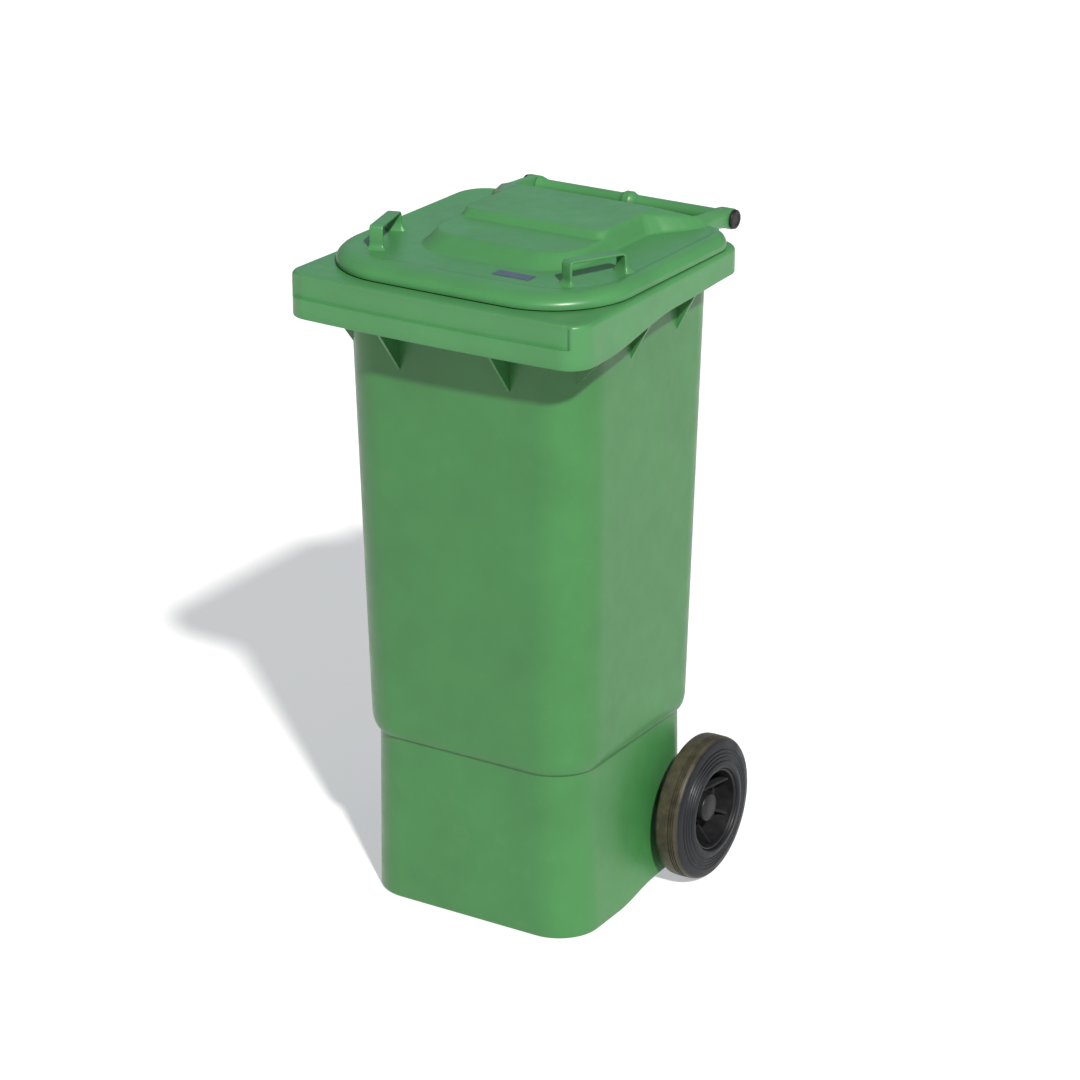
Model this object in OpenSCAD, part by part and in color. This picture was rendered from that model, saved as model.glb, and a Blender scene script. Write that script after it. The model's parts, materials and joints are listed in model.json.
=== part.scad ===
// Two-wheeled wheelie bin of the 80 litre class, with a hinged lid.
// A moulded body carries a handle bar at the back, and the lid turns on two pins
// in the ends of that bar. Two rubber-tyred wheels run on one steel axle.
// Seen from the front, +X is to the right, +Y is to the back and +Z is up.
// The origin is on the ground, under the middle of the overall box.
// Distances to the back are measured from the corners of the rim's front face.

/* [Rim] */
// Width of the rim at its front corners
rim_w = 445; // [440:1:450]
// Height of the rim's top face above the ground
rim_z = 888; // [880:1:895]
// Depth of the rim, from its front face to its rear face
rim_d = 423; // [415:1:426]
// Height of the rim's skirt at the front
skirt_h = 58; // [50:1:64]
// How far the middle of the rim's front face bows forward
rim_bow = 6; // [2:1:8]
// Depth of the recessed upper band on the rim's front face
band_depth = 4; // [2:1:6]

/* [Body] */
// Width of the body just under the rim
body_top_w = 374; // [368:1:378]
// Width of the body just above the step
body_step_w = 349; // [344:1:352]
// Width of the narrow foot at the step
foot_top_w = 327; // [320:1:332]
// Width of the foot close to the ground
foot_base_w = 336; // [328:1:338]
// Height of the step between body and foot
step_z = 238.5; // [232:0.5:244]
// Thickness of the moulded walls
wall = 3.6; // [3:0.1:4.5]

/* [Lid] */
// Height of the lid's flat border
lid_border_z = 908; // [904:1:912]
// Height of the lower, front plateau
plateau_low_z = 923; // [918:1:926]
// Height of the upper, rear plateau
plateau_high_z = 932; // [928:1:936]
// Height of the top of the two strap grips
grip_z = 938; // [935:1:942]
// Width of each strap grip
grip_w = 18; // [16:1:22]

/* [Handle and hinge] */
// Distance from the rim's front face back to the hinge axis
hinge_y = 488; // [482:1:492]
// Height of the hinge axis
hinge_z = 896.5; // [896:0.5:897]
// Radius of the handle bar
bar_r = 10.5; // [10:0.5:11]
// Radius of the lid's hinge lugs
lug_r = 14; // [13.5:0.5:15]
// Radius of the hinge pins
pin_r = 6; // [5:0.5:7]

/* [Wheels] */
// Radius of the tyres
tyre_r = 100; // [98:1:100]
// Width of the tyres
tyre_w = 42; // [40:1:43]
// Distance from the bin's middle to the outer face of a wheel
wheel_out_x = 222; // [221:0.5:222.5]
// Distance from the rim's front face back to the axle
axle_y = 364.6; // [362:0.1:368]
// Radius of the steel axle
axle_r = 10; // [9:0.5:10]
// Number of stiffening ribs in each wheel dish
wheel_ribs = 6; // [5:1:8]

/* [Label] */
// Length of the blank label plate on the lid
label_w = 54; // [40:1:60]
// Width of the blank label plate
label_d = 19; // [14:1:22]

/* [Hidden] */
$fn = 64;
arc_steps = 10;
green = [0.29, 0.56, 0.34];
dark = [0.13, 0.13, 0.14];

running_gap = 0.05;   // radial clearance of pins and axle
lid_gap = 1.5;        // between the rim's top face and the lid's lower edge
side_gap = 0.3;       // between faces of parts that move past each other
side_taper = 0.0228;  // each side runs in by this much for each unit of depth
front_y = -(hinge_y + lug_r - rim_bow) / 2;  // the rim's front corners, in the part's frame

rim_rear_w = rim_w - 2 * side_taper * rim_d;
rim_low_z = rim_z - skirt_h;
rim_r = 32;
rim_wall = 4;
rear_skirt_z = rim_z - 35;
body_front_y = 53;
body_rear_y = rim_d - rim_wall;
step_front_y = 69;
step_rear_y = 402;
foot_front_y = 77;
foot_rear_y = 395.5;
body_r = 66;
foot_r = 60;
lip_h = 26;           // height over which the body curves in to the foot
floor_t = 4;

arm_in_x = 112;       // inner and outer faces of the body's handle arms
arm_out_x = 141;
lug_in_x = 143;       // the lid's lugs fill the space from here to lug_out_x
lug_out_x = 160;
pin_head_t = 5;
pin_head_r = 13;
pin_in_x = 100;

notch_x = 158;        // half width, front and top of the recess that the axle crosses
notch_y = 338;
notch_z = 132;
axle_z = tyre_r;
axle_rib_x = 62;
boss_r = 18;

wheel_in_x = wheel_out_x - tyre_w;
tyre_bore_r = 57;
hub_out_x = wheel_out_x - 16;
hub_r = 18;
bush_r = axle_r + 4;
washer_t = 3;
washer_in_x = foot_base_w / 2 + 0.5;
hub_in_x = washer_in_x + washer_t + side_gap;
ring_t = 3;
ring_r = 15;

lid_front_w = 423;
lid_rear_w = 419;
lid_front_y = 27;
lid_rear_y = 418;
lid_bow = 3;
lid_front_r = 112;
lid_rear_r = 48;
lid_low_z = rim_z + lid_gap;
lid_wall = 3;
roll_side = 18;       // how far in the rolled edge reaches its crest, then at the front and back
roll_front = 38;
roll_rear = 7;
panel_drop = 1.5;     // how far the panel inside the crest is sunk
plateau_w = 218;
plateau_foot_y = 121; // foot and top of the slope in front of the lower plateau
plateau_front_y = 155;
plateau_step_y = 233; // foot and top of the step up to the upper plateau
plateau_high_y = 244;
plateau_rear_y = 376;

grip_front = [143, 96];
grip_rear = [172, 182];
grip_len = norm(grip_rear - grip_front);
grip_angle = atan2(grip_rear[1] - grip_front[1], grip_rear[0] - grip_front[0]);
grip_fall = 5;        // how much lower the strap is at its back end

label_at = [67, 94];
buffer_front = [110, 46];
buffer_rear = [190, 300];
buffer_r = 5;
buffer_top_z = lid_border_z - 8.5;
nest_y = 28;          // the nest for the identification chip, under the rim's front
nest_r = 18;
chip_r = 15;

// ---------- outlines and placing ----------

function arc_points(centre, r, a0, a1) = [
    for (i = [0:arc_steps])
        let (a = a0 + (a1 - a0) * i / arc_steps)
        [centre[0] + r * cos(a), centre[1] + r * sin(a)]
];

// A plan outline with round corners; its sides run in towards the back.
function plan(front_w, rear_w, y0, y1, front_r, rear_r, bow = 0) = concat(
    arc_points([rear_w / 2 - rear_r, y1 - rear_r], rear_r, 0, 90),
    arc_points([rear_r - rear_w / 2, y1 - rear_r], rear_r, 90, 180),
    bowed(concat(
        arc_points([front_r - front_w / 2, y0 + front_r], front_r, 180, 270),
        [for (i = [1:7]) [(front_w - 2 * front_r) * (i / 8 - 0.5), y0]],
        arc_points([front_w / 2 - front_r, y0 + front_r], front_r, 270, 360)
    ), front_w, bow)
);

// Pushes the middle of a front edge forward along a shallow curve.
function bowed(points, width, bow) = [
    for (p = points) [p[0], p[1] - bow * (1 - pow(2 * p[0] / width, 2))]
];

// Moves a part from rim measurements to the part's frame.
module placed() translate([0, front_y, 0]) children();

module slab(points, z, h) translate([0, 0, z]) linear_extrude(h) polygon(points);

// A flat plate with its outline in Y and Z, between two X positions.
module side_plate(x0, x1, points)
    translate([x0, 0, 0]) rotate([90, 0, 90]) linear_extrude(x1 - x0) polygon(points);

// A flat plate with its outline in X and Z, centred on a Y position.
module cross_plate(y, t, points)
    translate([0, y + t / 2, 0]) rotate([90, 0, 0]) linear_extrude(t) polygon(points);

// A round bar along X, between two X positions.
module x_bar(x0, x1, r) translate([x0, 0, 0]) rotate([0, 90, 0]) cylinder(h = x1 - x0, r = r);

// A cone along X, with a radius at each end.
module x_cone(x0, x1, r0, r1)
    translate([x0, 0, 0]) rotate([0, 90, 0]) cylinder(h = x1 - x0, r1 = r0, r2 = r1);

module at_hinge() translate([0, hinge_y, hinge_z]) children();

module at_axle() translate([0, axle_y, axle_z]) children();

// Draws the children, and again mirrored to the other side.
module both_sides() {
    children();
    mirror([1, 0, 0]) children();
}

// ---------- body ----------

// The tapering upper body, its lip, and the foot; each is smaller by the inset.
module tub(inset, base_z) {
    i2 = 2 * inset;
    hull() {
        slab(plan(body_top_w - i2, body_top_w - 8 - i2, body_front_y + inset, body_rear_y - inset,
                  body_r - inset, body_r - 10 - inset), rim_z - 1, inset > 0 ? 3 : 1);
        slab(plan(body_step_w - i2, body_step_w - 8 - i2, step_front_y + inset, step_rear_y - inset,
                  body_r - inset, body_r - 10 - inset), step_z + lip_h - inset, 1);
        slab(plan(foot_top_w + 4 - i2, foot_top_w - 4 - i2, foot_front_y - 2 + inset, foot_rear_y + 1 - inset,
                  foot_r - inset, foot_r - 8 - inset), step_z + inset / 2, 1);
    }
    hull() {
        slab(plan(foot_top_w - i2, foot_top_w - 8 - i2, foot_front_y + inset, foot_rear_y - inset,
                  foot_r - inset, foot_r - 8 - inset), step_z + 8, 1);
        slab(plan(foot_base_w - i2, foot_base_w - 8 - i2, foot_front_y + 2 + inset, foot_rear_y - inset,
                  foot_r - inset, foot_r - 8 - inset), base_z + 4, 1);
        slab(plan(foot_base_w - 5 - i2, foot_base_w - 13 - i2, foot_front_y + 4.5 + inset, foot_rear_y - 2.5 - inset,
                  foot_r - inset, foot_r - 8 - inset), base_z, 1);
    }
}

// The wedge below the floor, which rises towards the wheels.
module underside_slope(lift) side_plate(-rim_w, rim_w, [
    [200, -1], [200, lift], [300, 12 + lift], [rim_d, 16 + lift], [rim_d, -1]
]);

// The rim: a flat top with a hanging skirt, open underneath.
module rim() {
    difference() {
        slab(plan(rim_w, rim_rear_w, 0, rim_d, rim_r, rim_r, rim_bow), rim_low_z, skirt_h);
        slab(plan(rim_w - 2 * rim_wall, rim_rear_w - 2 * rim_wall, rim_wall + band_depth, rim_d - rim_wall,
                  rim_r - rim_wall, rim_r - rim_wall, rim_bow), rim_low_z - 1, skirt_h + 1 - rim_wall);
        // the skirt gets shallower towards the back
        side_plate(-rim_w, rim_w, [
            [64, rim_low_z - 2], [64, rim_low_z], [240, rear_skirt_z - 3],
            [rim_d + 1, rear_skirt_z], [rim_d + 1, rim_low_z - 2]
        ]);
        front_band();
    }
}

// What the recessed upper band takes off the rim's bowed front face.
module front_band() difference() {
    translate([-216, -rim_bow - 1, rim_z - 31]) cube([422, rim_bow + 18, 32]);
    slab(plan(rim_w, rim_rear_w, band_depth, rim_d, rim_r, rim_r, rim_bow), rim_z - 40, 50);
}

// Triangular ribs that tie the skirt to the body wall.
module rim_ribs() {
    both_sides() side_plate(81, 85, [
        [2, rim_z - 2], [2, rim_low_z + 4], [body_front_y + 5, 764], [body_front_y + 5, rim_z - 2]
    ]);
    // each rib: its place in depth, its outer end's lowest height, its inner end, and its tip's height
    for (rib = [[80, 836, 170, 782], [188, 850, 182, 784], [306, 858, 182, 792]]) {
        half_w = rim_w / 2 - side_taper * rib[0] - 2;
        both_sides() cross_plate(rib[0], 4, [
            [half_w, rim_z - 2], [half_w, rib[1]], [rib[2], rib[3]], [rib[2], rim_z - 2]
        ]);
    }
}

// The handle bar with its collars, and the arms that hold it off the rim.
module handle() {
    at_hinge() {
        x_bar(-lug_in_x, lug_in_x, bar_r);
        x_bar(-6, 6, bar_r + 3.5);
        both_sides() {
            x_cone(6, 14, bar_r + 3.5, bar_r);
            x_cone(131, lug_in_x, bar_r, bar_r + 3.5);
        }
    }
    both_sides() {
        side_plate(arm_in_x, arm_out_x, [
            [rim_d - 6, rim_z - 2], [hinge_y - 14, rim_z - 2], [hinge_y, hinge_z],
            [hinge_y + 3, hinge_z - 9], [hinge_y - 18, hinge_z - 42], [rim_d - 6, 812]
        ]);
        // the outer part of each arm stops short of the lid's lug
        side_plate(arm_out_x - 1, lug_out_x - 2, [
            [rim_d - 6, rim_z - 2], [rim_d + 26, rim_z - 2], [rim_d + 43, rim_z - 6],
            [rim_d + 41, rim_z - 16], [rim_d + 18, rim_z - 44], [rim_d - 6, rim_z - 60]
        ]);
    }
}

// The raised floor over the axle, with the bosses and ribs that hold it.
module axle_seat() {
    at_axle() both_sides() {
        x_bar(notch_x - 20, notch_x + 2, boss_r);
        x_bar(axle_rib_x - 4, axle_rib_x + 4, boss_r);
    }
    both_sides() {
        for (x = [axle_rib_x - 4, notch_x - 12]) side_plate(x, x + 8, [
            [notch_y - 1, 42], [notch_y - 1, notch_z + 1], [foot_rear_y - 6, notch_z + 1],
            [axle_y + boss_r, axle_z], [axle_y + 8, axle_z - 16], [axle_y - 8, axle_z - 16]
        ]);
    }
}

// A round nest under the rim's front for the identification chip.
module chip_nest() {
    translate([0, nest_y, rim_z - 22]) difference() {
        cylinder(h = 20, r = nest_r);
        translate([0, 0, -1]) cylinder(h = 20 - rim_wall + 3, r = chip_r + running_gap);
    }
}

module body() placed() color(green) difference() {
    union() {
        difference() {
            union() {
                tub(0, 0);
                rim();
                rim_ribs();
            }
            difference() {
                tub(wall, floor_t);
                translate([-rim_w, notch_y - wall, -1]) cube([2 * rim_w, rim_d, notch_z + wall + 1]);
                underside_slope(floor_t);
            }
            translate([-notch_x, notch_y, -1]) cube([2 * notch_x, rim_d, notch_z + 1]);
            underside_slope(0);
        }
        handle();
        axle_seat();
        chip_nest();
    }
    at_axle() x_bar(-rim_w / 2, rim_w / 2, axle_r + running_gap);
    at_hinge() both_sides() x_bar(pin_in_x - 2, rim_w / 2, pin_r + running_gap);
}

// ---------- lid ----------

// A lid outline drawn in by its own amount at the sides, the front and the back.
function lid_plan(side, front, rear) = plan(
    lid_front_w - 2 * side, lid_rear_w - 2 * side, lid_front_y + front, lid_rear_y - rear,
    lid_front_r - (side + front) / 2, lid_rear_r - (side + rear) / 2, lid_bow
);

// The border with its rolled edge, and the stepped plateaus, smaller by the inset.
module lid_skin(inset) {
    i2 = 2 * inset;
    crest_z = inset > 0 ? lid_border_z - panel_drop - inset : lid_border_z;
    low_z = plateau_low_z - 1 - inset;
    high_z = plateau_high_z - 1 - inset;
    hull() {
        slab(lid_plan(inset, inset, inset), inset > 0 ? lid_low_z - 1 : lid_low_z, 5.5);
        slab(lid_plan(1.5 + inset, 3 + inset, 0.5 + inset), crest_z - 10, 1);
        slab(lid_plan(6 + inset, 11 + inset, 2.5 + inset), crest_z - 4.5, 1);
        slab(lid_plan(roll_side + inset, roll_front + inset, roll_rear + inset), crest_z - 1, 1);
    }
    hull() {
        slab(plan(plateau_w + 20 - i2, plateau_w + 12 - i2, plateau_foot_y + inset, plateau_rear_y + 12 - inset,
                  60 - inset, 14 - inset), crest_z - 3, 1);
        slab(plan(plateau_w - i2, plateau_w - 8 - i2, plateau_front_y + inset, plateau_rear_y - inset,
                  50 - inset, 10 - inset), low_z, 1);
    }
    hull() {
        slab(plan(plateau_w + 4 - i2, plateau_w - 4 - i2, plateau_step_y + inset, plateau_rear_y - inset,
                  16 - inset, 10 - inset), low_z - 1, 1);
        slab(plan(plateau_w - 4 - i2, plateau_w - 12 - i2, plateau_high_y + inset, plateau_rear_y - inset,
                  14 - inset, 10 - inset), high_z, 1);
    }
}

// The sunk panel inside the rolled edge's crest.
module lid_panel_cut()
    slab(lid_plan(roll_side + 6, roll_front + 6, roll_rear + 6), lid_border_z - panel_drop, 5);

// The wings that widen the upper plateau and slope down towards the hinge arms.
module lid_wings() hull() both_sides() {
    slab([[0, 330], [96, 330], [96, plateau_rear_y], [0, plateau_rear_y]], plateau_high_z - 1, 1);
    slab([[0, 400], [146, 400], [146, 413], [0, 413]], plateau_high_z - 14, 1);
    slab([[0, 316], [112, 316], [160, 392], [164, 413], [0, 413]], lid_border_z - 3, 1);
}

// The pocket under the wings, which keeps their wall thin.
module wing_pocket() slab([
    [-101, 340], [101, 340], [137, 394], [137, 407], [-137, 407], [-137, 394]
], lid_border_z - 6, 12);

// The two arms that reach back from the lid to the hinge lugs; each falls towards its outer side.
module lid_arms() both_sides() {
    for (arm = [[lug_in_x + side_gap, lug_in_x + 9, 0], [lug_in_x + 8, lug_out_x - side_gap, 4.5]])
        side_plate(arm[0], arm[1], [
            [398, lid_border_z - 4], [398, plateau_high_z - 13.5 - arm[2]],
            [hinge_y - 30, hinge_z + 17.5 - arm[2]], [hinge_y - 3, hinge_z + lug_r - 0.5 - arm[2]],
            [hinge_y, hinge_z - 9], [hinge_y - 40, hinge_z - 3], [lid_rear_y - 6, lid_low_z + 3]
        ]);
    at_hinge() x_bar(lug_in_x + side_gap, lug_out_x - side_gap, lug_r);
}

// Seats under the border that hold the buffers.
module buffer_seats() both_sides() for (p = [buffer_front, buffer_rear])
    translate([p[0], p[1], buffer_top_z]) cylinder(h = 5, r = buffer_r + 2);

// A strap grip near a front corner: two flared posts joined by a flat strap.
module lid_grip() {
    foot_z = lid_border_z - panel_drop - 2;
    low = grip_z - grip_fall;
    translate([grip_front[0], grip_front[1], 0]) rotate([0, 0, grip_angle])
        translate([0, grip_w / 2, 0]) rotate([90, 0, 0]) linear_extrude(grip_w) difference() {
            polygon([
                [-8, foot_z], [-2.5, foot_z + 10], [-1, grip_z - 4], [2, grip_z],
                [grip_len - 6, low + 0.5], [grip_len - 1, low - 2.5], [grip_len + 3, foot_z + 12],
                [grip_len + 12, foot_z]
            ]);
            polygon([
                [9, foot_z - 1], [4, foot_z + 8], [3, grip_z - 6], [5, grip_z - 4],
                [grip_len - 9, low - 3.5], [grip_len - 6, low - 6], [grip_len - 4, foot_z + 10],
                [grip_len - 9, foot_z - 1]
            ]);
        }
}

module lid() placed() color(green) difference() {
    union() {
        difference() {
            union() {
                difference() {
                    lid_skin(0);
                    difference() {
                        lid_panel_cut();
                        slab(plan(plateau_w + 20, plateau_w + 12, plateau_foot_y, plateau_rear_y + 12, 60, 14),
                             lid_border_z - 3, 10);
                    }
                }
                lid_wings();
                lid_arms();
            }
            lid_skin(lid_wall);
            wing_pocket();
        }
        buffer_seats();
        both_sides() lid_grip();
    }
    at_hinge() x_bar(-rim_w / 2, rim_w / 2, pin_r + running_gap);
}

module label_plate() placed() color([0.2, 0.25, 0.36])
    translate([label_at[0] - label_w / 2, label_at[1] - label_d / 2, lid_border_z - panel_drop])
        cube([label_w, label_d, 0.8]);

// A rubber buffer under the lid's border that meets the rim's top face.
module buffer(place) placed() color(dark) translate([place[0], place[1], rim_z + side_gap])
    cylinder(h = buffer_top_z - rim_z - side_gap, r = buffer_r);

// ---------- small pieces on the body ----------

module hinge_pin() placed() color(dark) at_hinge() {
    x_bar(pin_in_x, lug_out_x + 1, pin_r);
    x_bar(lug_out_x, lug_out_x + pin_head_t - 2, pin_head_r);
    x_cone(lug_out_x + pin_head_t - 2, lug_out_x + pin_head_t, pin_head_r, pin_head_r - 3);
}

module chip() placed() color([0.8, 0.78, 0.7]) translate([0, nest_y, rim_z - 9])
    cylinder(h = 4, r = chip_r - 0.3);

module chip_plug() placed() color(dark) translate([0, nest_y, rim_z - 24]) {
    cylinder(h = 2, r = nest_r - 1);
    translate([0, 0, 1]) cylinder(h = 13, r = chip_r);
}

module axle() placed() color("silver") at_axle()
    x_bar(-hub_out_x - 2, hub_out_x + 2, axle_r);

// ---------- wheel pieces, drawn on the right-hand side ----------

// A solid rubber tyre; its outer face swells out to the dish, with grooves near the outer shoulder.
module tyre() placed() color(dark) at_axle() rotate([0, 90, 0]) {
    half_w = tyre_w / 2;
    shoulder = 5;
    translate([0, 0, wheel_in_x + half_w]) rotate_extrude($fn = 96) difference() {
        polygon(concat(
            [[tyre_bore_r, -half_w + 1], [tyre_bore_r + 4, -half_w]],
            arc_points([tyre_r - shoulder - 0.5, -half_w + shoulder], shoulder, -90, 0),
            [
                [tyre_r, -half_w + 11], [tyre_r - 0.4, half_w - 13.5], [tyre_r - 1, half_w - 11],
                [tyre_r - 3, half_w - 8], [tyre_r - 7, half_w - 6.5], [tyre_r - 12, half_w - 5.5],
                [tyre_r - 22, half_w - 3.5], [tyre_r - 32, half_w - 1.3], [tyre_r - 37, half_w - 0.2],
                [tyre_bore_r + 3, half_w], [tyre_bore_r + 0.8, half_w - 0.8], [tyre_bore_r, half_w - 2.4]
            ]
        ));
        for (z = [-1, 2.5, 6]) translate([tyre_r - 2.5, z]) square([4, 1.2]);
    }
}

// The dished plastic wheel rim: band, web, ribs and hub.
module wheel_rim() placed() color([0.1, 0.1, 0.11]) at_axle() difference() {
    union() {
        rotate([0, 90, 0]) rotate_extrude($fn = 96) polygon([
            [hub_r - 2, hub_in_x], [hub_r, hub_in_x + 2], [hub_r, wheel_in_x + 2.5],
            [tyre_bore_r - 6, wheel_in_x + 2], [tyre_bore_r, wheel_in_x + 2],
            [tyre_bore_r, wheel_out_x - 2.6], [tyre_bore_r - 4, wheel_out_x - 2.6],
            [tyre_bore_r - 7, wheel_in_x + 6], [hub_r, wheel_in_x + 6.5],
            [hub_r, hub_out_x - 6], [hub_r - 2, hub_out_x - 4],
            [bush_r, hub_out_x - 4], [bush_r, hub_in_x]
        ]);
        for (i = [0:wheel_ribs - 1]) rotate([i * 360 / wheel_ribs, 0, 0])
            translate([0, 0, -2.5]) linear_extrude(5) polygon([
                [wheel_in_x + 3, hub_r - 1], [wheel_in_x + 3, tyre_bore_r - 4.5],
                [wheel_out_x - 10, tyre_bore_r - 4.5], [wheel_in_x + 5, hub_r - 1]
            ]);
    }
    x_bar(hub_in_x - 1, hub_out_x, bush_r);
}

// The plain bush between the hub and the axle.
module wheel_bush() placed() color([0.85, 0.85, 0.8]) at_axle() difference() {
    x_bar(hub_in_x, hub_out_x - 4, bush_r);
    x_bar(hub_in_x - 1, hub_out_x, axle_r + running_gap);
}

module spacer_washer() placed() color("gray") at_axle() difference() {
    x_bar(washer_in_x, washer_in_x + washer_t, boss_r);
    x_bar(washer_in_x - 1, washer_in_x + washer_t + 1, axle_r);
}

// The push-on ring that keeps the wheel on the axle.
module retaining_ring() placed() color("gray") at_axle() difference() {
    x_bar(hub_out_x - 4 + side_gap, hub_out_x - 4 + side_gap + ring_t, ring_r);
    x_bar(hub_out_x - 5, hub_out_x + ring_t, axle_r);
}

// The cap that clips round the hub and covers the axle's end.
module hub_cap() placed() color([0.08, 0.08, 0.09]) at_axle() rotate([0, 90, 0])
    rotate_extrude() polygon([
        [hub_r, hub_out_x - 12], [hub_r + 2, hub_out_x - 12], [hub_r + 2, hub_out_x + 2],
        [hub_r - 2, hub_out_x + 5], [0, hub_out_x + 6], [0, hub_out_x + 3.5],
        [hub_r - 2, hub_out_x + 2.5], [hub_r - 1.5, hub_out_x - 3.8], [hub_r, hub_out_x - 6]
    ]);

module left() mirror([1, 0, 0]) children();

body();
lid();
label_plate();
left() hinge_pin();  // hinge_pin_left
hinge_pin();  // hinge_pin_right
left() buffer(buffer_front);  // buffer_front_left
buffer(buffer_front);  // buffer_front_right
left() buffer(buffer_rear);  // buffer_rear_left
buffer(buffer_rear);  // buffer_rear_right
chip();
chip_plug();
axle();
left() tyre();  // tyre_left
tyre();  // tyre_right
left() wheel_rim();  // wheel_rim_left
wheel_rim();  // wheel_rim_right
left() wheel_bush();  // wheel_bush_left
wheel_bush();  // wheel_bush_right
left() spacer_washer();  // spacer_washer_left
spacer_washer();  // spacer_washer_right
left() retaining_ring();  // retaining_ring_left
retaining_ring();  // retaining_ring_right
left() hub_cap();  // hub_cap_left
hub_cap();  // hub_cap_right
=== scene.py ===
import json
import math

import bmesh
import bpy
from mathutils import Matrix, Vector
from mathutils.geometry import delaunay_2d_cdt


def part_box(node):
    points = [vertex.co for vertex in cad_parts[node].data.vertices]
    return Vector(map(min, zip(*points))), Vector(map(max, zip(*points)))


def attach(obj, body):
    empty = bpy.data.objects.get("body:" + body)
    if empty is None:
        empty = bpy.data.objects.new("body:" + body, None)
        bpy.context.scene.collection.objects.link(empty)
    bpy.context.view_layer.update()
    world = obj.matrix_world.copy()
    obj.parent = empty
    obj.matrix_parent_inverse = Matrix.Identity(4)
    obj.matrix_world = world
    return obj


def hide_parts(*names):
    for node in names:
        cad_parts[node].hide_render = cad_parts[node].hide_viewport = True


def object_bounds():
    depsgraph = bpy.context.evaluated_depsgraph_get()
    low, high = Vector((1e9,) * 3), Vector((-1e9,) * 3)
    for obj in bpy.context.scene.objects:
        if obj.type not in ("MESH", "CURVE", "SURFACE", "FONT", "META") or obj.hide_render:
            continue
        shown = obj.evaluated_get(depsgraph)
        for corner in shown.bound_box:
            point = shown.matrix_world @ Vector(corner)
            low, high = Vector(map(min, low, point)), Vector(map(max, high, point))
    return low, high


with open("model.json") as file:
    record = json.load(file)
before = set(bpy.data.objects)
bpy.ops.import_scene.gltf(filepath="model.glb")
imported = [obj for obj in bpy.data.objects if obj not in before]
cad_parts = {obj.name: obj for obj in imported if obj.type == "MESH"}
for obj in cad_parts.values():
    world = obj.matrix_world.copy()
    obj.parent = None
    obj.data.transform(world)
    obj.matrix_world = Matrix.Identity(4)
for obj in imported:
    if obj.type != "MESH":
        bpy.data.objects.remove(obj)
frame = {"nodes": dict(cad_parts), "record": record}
cad_low, cad_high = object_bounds()

# ---------- dimensions ----------
# Lengths in this section are in millimetres, as in the CAD part. "Depth" is the distance
# back from the corners of the rim's front face.

MM = 0.001
body_low, body_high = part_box("body")
lid_low, lid_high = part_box("lid")
pin_low, pin_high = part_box("hinge_pin_right")
tyre_low, tyre_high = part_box("tyre_right")
axle_low, axle_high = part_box("axle")

RIM_BOW = 6
FRONT = body_low.y + RIM_BOW * MM
RIM_W = (body_high.x - body_low.x) / MM
HINGE_Y = (pin_low.y + pin_high.y) / 2 / MM - FRONT / MM
HINGE_Z = (pin_low.z + pin_high.z) / 2 / MM
RIM_Z = HINGE_Z - 8.5
LID_LOW_Z = RIM_Z + 1.5
RIM_D = 423
RIM_R = 32
SIDE_TAPER = 0.0228
RIM_REAR_W = RIM_W - 2 * SIDE_TAPER * RIM_D
SKIRT_H = 58
REAR_SKIRT_H = 35
RIM_T = 4
REAR_SKIRT_T = 2
BAND_H = 31
BAND_DEPTH = 5.5
BAND_FROM_X, BAND_TO_X = -216, 207

TOP = dict(width=374, front=53, rear=417, corner=66)
STEP = dict(width=349, front=69, rear=402, corner=66)
FOOT = dict(width=327, front=77, rear=395.5, corner=60)
BASE = dict(width=336, front=79, rear=395.5, corner=60)
STEP_Z = 238.5
LIP_H = 27
LIP_OVERHANG = 1.2
REAR_NARROWER = 8
REAR_SHARPER = 10
FLOOR_RISE, AXLE_RISE = 12, 4
FLOOR_BLEND_Z = 90
WALL = 3.6
FLOOR_T = 4
EDGE_R = 3.5
RIM_EDGE_R = 5
RIB_X, RIB_T = 83, 4
SIDE_RIBS = ((80, 836, 167, 782), (188, 850, 180, 784), (306, 858, 179, 792))

PIN_IN_X = pin_low.x / MM
PIN_OUT_X = pin_high.x / MM
PIN_R = 6
PIN_HEAD_R = 13
BAR_R = 10.5
COLLAR_R = 14
LUG_R = 14
LUG_BORE_R = 6.05
LUG_IN_X, LUG_OUT_X = 143, 160
SIDE_GAP = 0.3
ARM_IN_X, ARM_OUT_X = 112, 141
NEST_DEPTH, NEST_R, CHIP_R = 28, 18, 15.05

AXLE_Y = (axle_low.y + axle_high.y) / 2 / MM - FRONT / MM
AXLE_Z = (axle_low.z + axle_high.z) / 2 / MM
AXLE_BORE_R = 10.05
NOTCH_X, NOTCH_Y, NOTCH_Z = 158, 338, 132
AXLE_RIB_X = 62
BOSS_R = 18

TYRE_R = (tyre_high.z - tyre_low.z) / 2 / MM
WHEEL_IN_X, WHEEL_OUT_X = tyre_low.x / MM, tyre_high.x / MM
TYRE_BORE_R = 57
SHOULDER_R = 5
GROOVES = (20.6, 24.1, 27.6)
FACE_RINGS = ((84, 4.6), (79, 3.6), (74, 2.5), (69, 1.5))
DUST_FROM_R, DUST_TO_R = 95.5, 98.8
HUB_R = 18
HUB_IN_X = 171.8
HUB_OUT_X = WHEEL_OUT_X - 16
BUSH_R = 14
WHEEL_RIBS = 6
RIB_HALF_T = 2.2

LID = dict(front_w=423, rear_w=419, front=27, rear=418, front_r=112, rear_r=48, bow=3)
LID_CREST_Z = 908
LID_T = 3
ROLL_SIDE, ROLL_FRONT, ROLL_REAR = 18, 38, 7
PANEL_Z = 906.5
LOW_Z, HIGH_Z = 923, 932
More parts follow.
